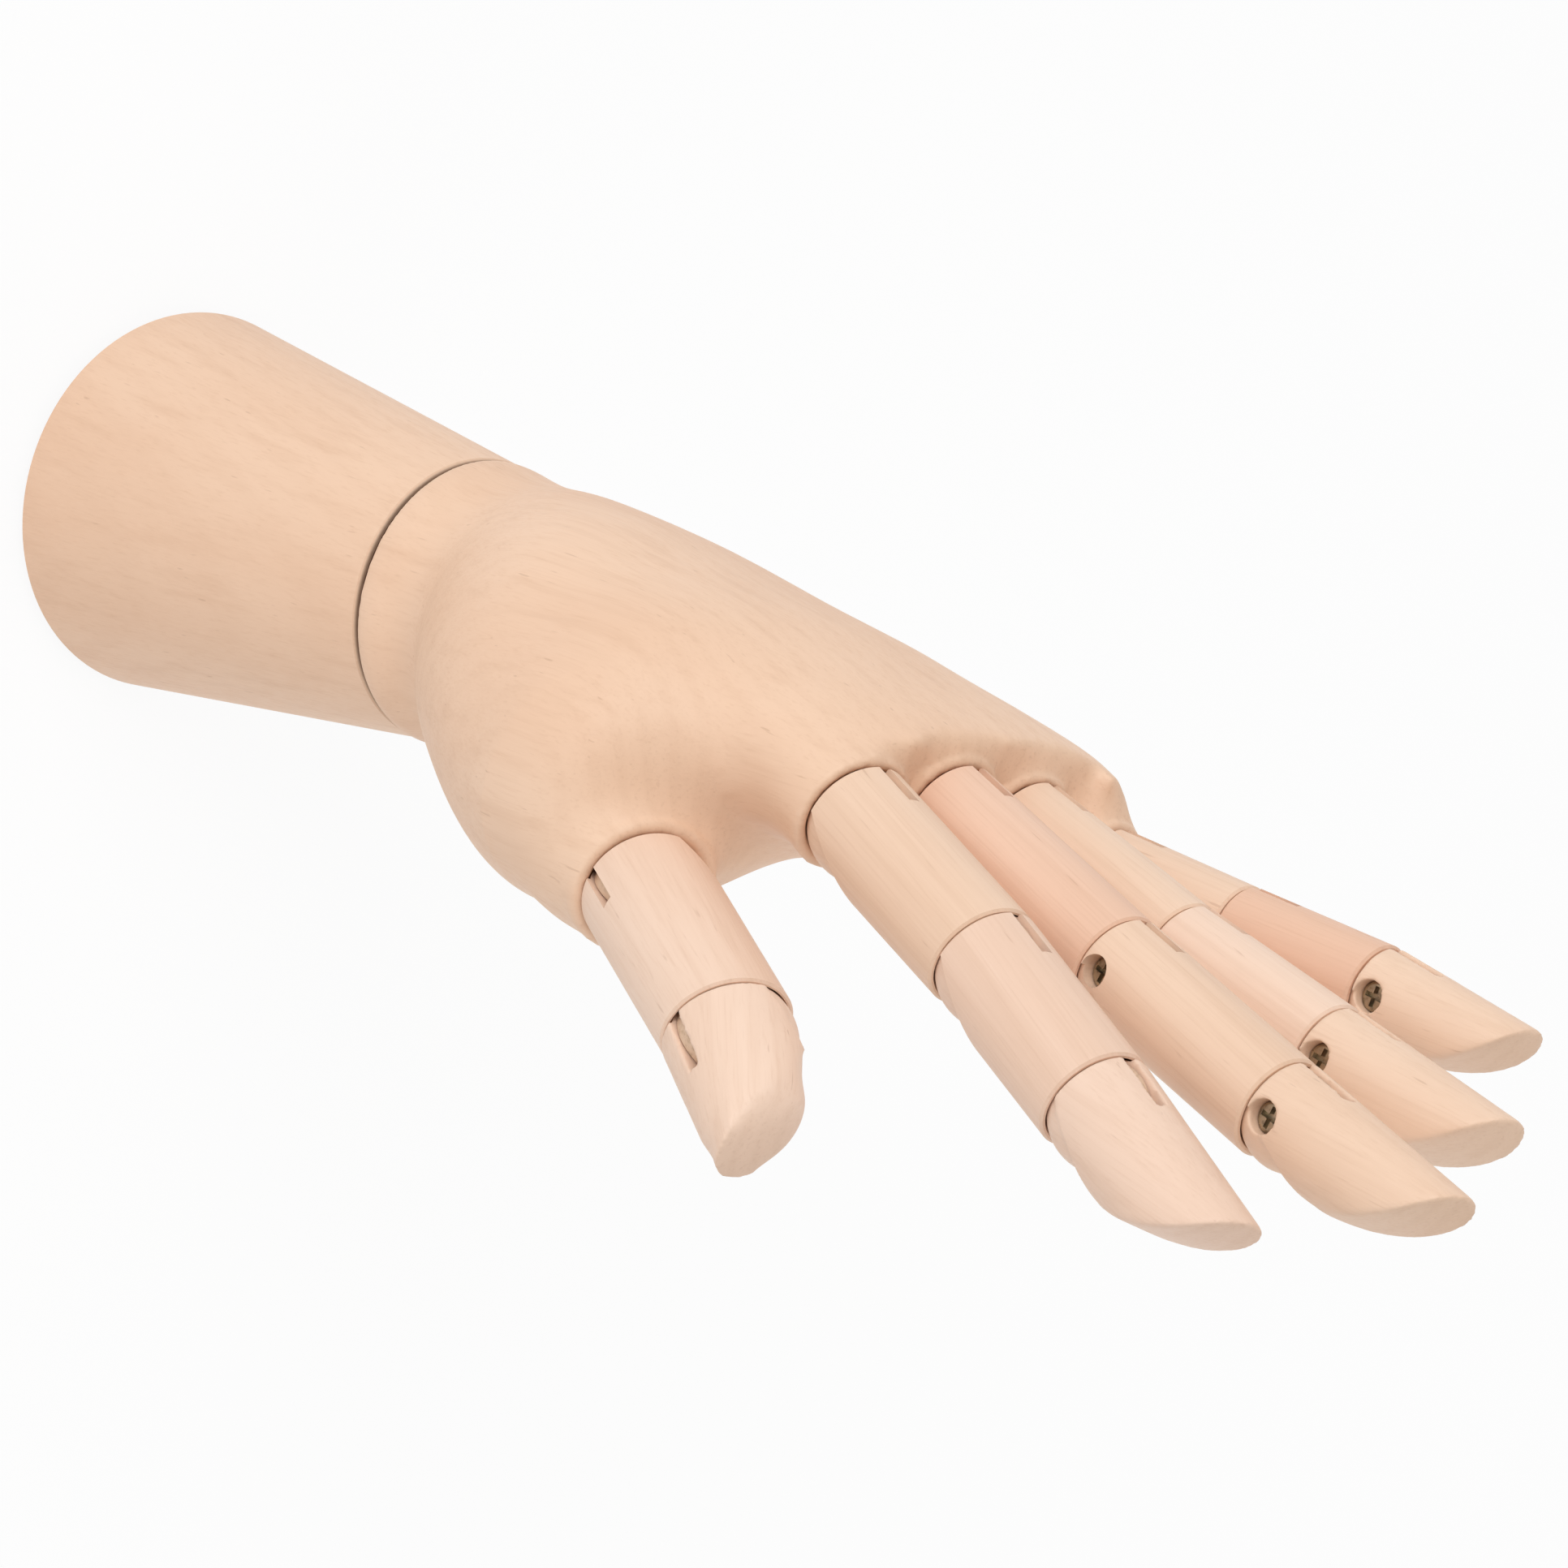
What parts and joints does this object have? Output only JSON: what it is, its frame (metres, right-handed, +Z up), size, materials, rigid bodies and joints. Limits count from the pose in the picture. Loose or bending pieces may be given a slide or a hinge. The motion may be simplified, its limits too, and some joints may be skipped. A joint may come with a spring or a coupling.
{
  "type": "jointed wooden hand mannequin",
  "caption": "Jointed wooden drawing hand standing on its forearm, with hinged fingers and thumb and a turning wrist.",
  "frame": {"origin": "centre of the underside of the base, on the surface it stands on", "axes": "+Z up along the forearm axis to the fingertips, -Y out of the back of the hand, +X to the thumb side"},
  "size_m": [0.0923, 0.0953, 0.302],
  "materials": {
    "wood": "satin, fine straight grain",
    "spring_steel": "cold-rolled",
    "screw_steel": "bright, slightly tarnished",
    "zinc_steel": "zinc plated",
    "felt": "matt pressed felt"
  },
  "bodies": {
    "forearm": {"forearm": "wood", "base_felt_pad": "felt", "wrist_washer": "zinc_steel"},
    "palm": {"palm": "wood", "wrist_bolt": "zinc_steel", "wrist_nut": "zinc_steel", "wrist_spring": "spring_steel", "index_base_tab": "spring_steel", "middle_base_tab": "spring_steel", "ring_base_tab": "spring_steel", "little_base_tab": "spring_steel", "thumb_base_tab": "spring_steel"},
    "index_proximal": {"index_proximal": "wood", "index_base_screw": "screw_steel", "index_middle_tab": "spring_steel"},
    "index_middle": {"index_middle": "wood", "index_middle_screw": "screw_steel", "index_end_tab": "spring_steel"},
    "index_distal": {"index_distal": "wood", "index_end_screw": "screw_steel"},
    "middle_proximal": {"middle_proximal": "wood", "middle_base_screw": "screw_steel", "middle_middle_tab": "spring_steel"},
    "middle_middle": {"middle_middle": "wood", "middle_middle_screw": "screw_steel", "middle_end_tab": "spring_steel"},
    "middle_distal": {"middle_distal": "wood", "middle_end_screw": "screw_steel"},
    "ring_proximal": {"ring_proximal": "wood", "ring_base_screw": "screw_steel", "ring_middle_tab": "spring_steel"},
    "ring_middle": {"ring_middle": "wood", "ring_middle_screw": "screw_steel", "ring_end_tab": "spring_steel"},
    "ring_distal": {"ring_distal": "wood", "ring_end_screw": "screw_steel"},
    "little_proximal": {"little_proximal": "wood", "little_base_screw": "screw_steel", "little_middle_tab": "spring_steel"},
    "little_middle": {"little_middle": "wood", "little_middle_screw": "screw_steel", "little_end_tab": "spring_steel"},
    "little_distal": {"little_distal": "wood", "little_end_screw": "screw_steel"},
    "thumb_proximal": {"thumb_proximal": "wood", "thumb_base_screw": "screw_steel", "thumb_end_tab": "spring_steel"},
    "thumb_distal": {"thumb_distal": "wood", "thumb_end_screw": "screw_steel"}
  },
  "joints": [
    {"name": "wrist_swivel", "type": "hinge", "parent": "forearm", "child": "palm", "pos_m": [0, 0, 0.0813], "axis": [0, 0, 1], "range_deg": [-180, 180]},
    {"name": "index_base", "type": "hinge", "parent": "palm", "child": "index_proximal", "pos_m": [0.02515, 0.01184, 0.1988], "axis": [-0.9851, -0.1143, 0.1286], "range_deg": [0, 32]},
    {"name": "index_middle", "type": "hinge", "parent": "index_proximal", "child": "index_middle", "pos_m": [0.0279, 0.02385, 0.23059], "axis": [-0.9851, -0.1143, 0.1286], "range_deg": [0, 50]},
    {"name": "index_end", "type": "hinge", "parent": "index_middle", "child": "index_distal", "pos_m": [0.02997, 0.03562, 0.25691], "axis": [-0.9851, -0.1143, 0.1286], "range_deg": [0, 55]},
    {"name": "middle_base", "type": "hinge", "parent": "palm", "child": "middle_proximal", "pos_m": [0.0087, 0.0065, 0.20146], "axis": [-0.9899, -0.0997, 0.1006], "range_deg": [0, 55]},
    {"name": "middle_middle", "type": "hinge", "parent": "middle_proximal", "child": "middle_middle", "pos_m": [0.01139, 0.01848, 0.23984], "axis": [-0.9899, -0.0997, 0.1006], "range_deg": [0, 55]},
    {"name": "middle_end", "type": "hinge", "parent": "middle_middle", "child": "middle_distal", "pos_m": [0.01384, 0.02802, 0.27342], "axis": [-0.9899, -0.0997, 0.1006], "range_deg": [0, 55]},
    {"name": "ring_base", "type": "hinge", "parent": "palm", "child": "ring_proximal", "pos_m": [-0.00707, 0.00497, 0.203], "axis": [-0.9981, -0.0337, 0.0525], "range_deg": [0, 30]},
    {"name": "ring_middle", "type": "hinge", "parent": "ring_proximal", "child": "ring_middle", "pos_m": [-0.00557, 0.01387, 0.23733], "axis": [-0.9981, -0.0337, 0.0525], "range_deg": [0, 55]},
    {"name": "ring_end", "type": "hinge", "parent": "ring_middle", "child": "ring_distal", "pos_m": [-0.00425, 0.01964, 0.26612], "axis": [-0.9981, -0.0337, 0.0525], "range_deg": [0, 55]},
    {"name": "little_base", "type": "hinge", "parent": "palm", "child": "little_proximal", "pos_m": [-0.02204, 0.00637, 0.20929], "axis": [-0.9899, -0.139, 0.0268], "range_deg": [0, 55]},
    {"name": "little_middle", "type": "hinge", "parent": "little_proximal", "child": "little_middle", "pos_m": [-0.02155, 0.00777, 0.23485], "axis": [-0.9899, -0.139, 0.0268], "range_deg": [0, 55]},
    {"name": "little_end", "type": "hinge", "parent": "little_middle", "child": "little_distal", "pos_m": [-0.02107, 0.00913, 0.2595], "axis": [-0.9899, -0.139, 0.0268], "range_deg": [0, 55]},
    {"name": "thumb_base", "type": "hinge", "parent": "palm", "child": "thumb_proximal", "pos_m": [0.03579, 0.03192, 0.17528], "axis": [-0.1064, 0.9409, -0.3216], "range_deg": [-45, 0]},
    {"name": "thumb_end", "type": "hinge", "parent": "thumb_proximal", "child": "thumb_distal", "pos_m": [0.04638, 0.04491, 0.20785], "axis": [-0.1655, 0.8499, -0.5003], "range_deg": [-50, 0]}
  ]
}
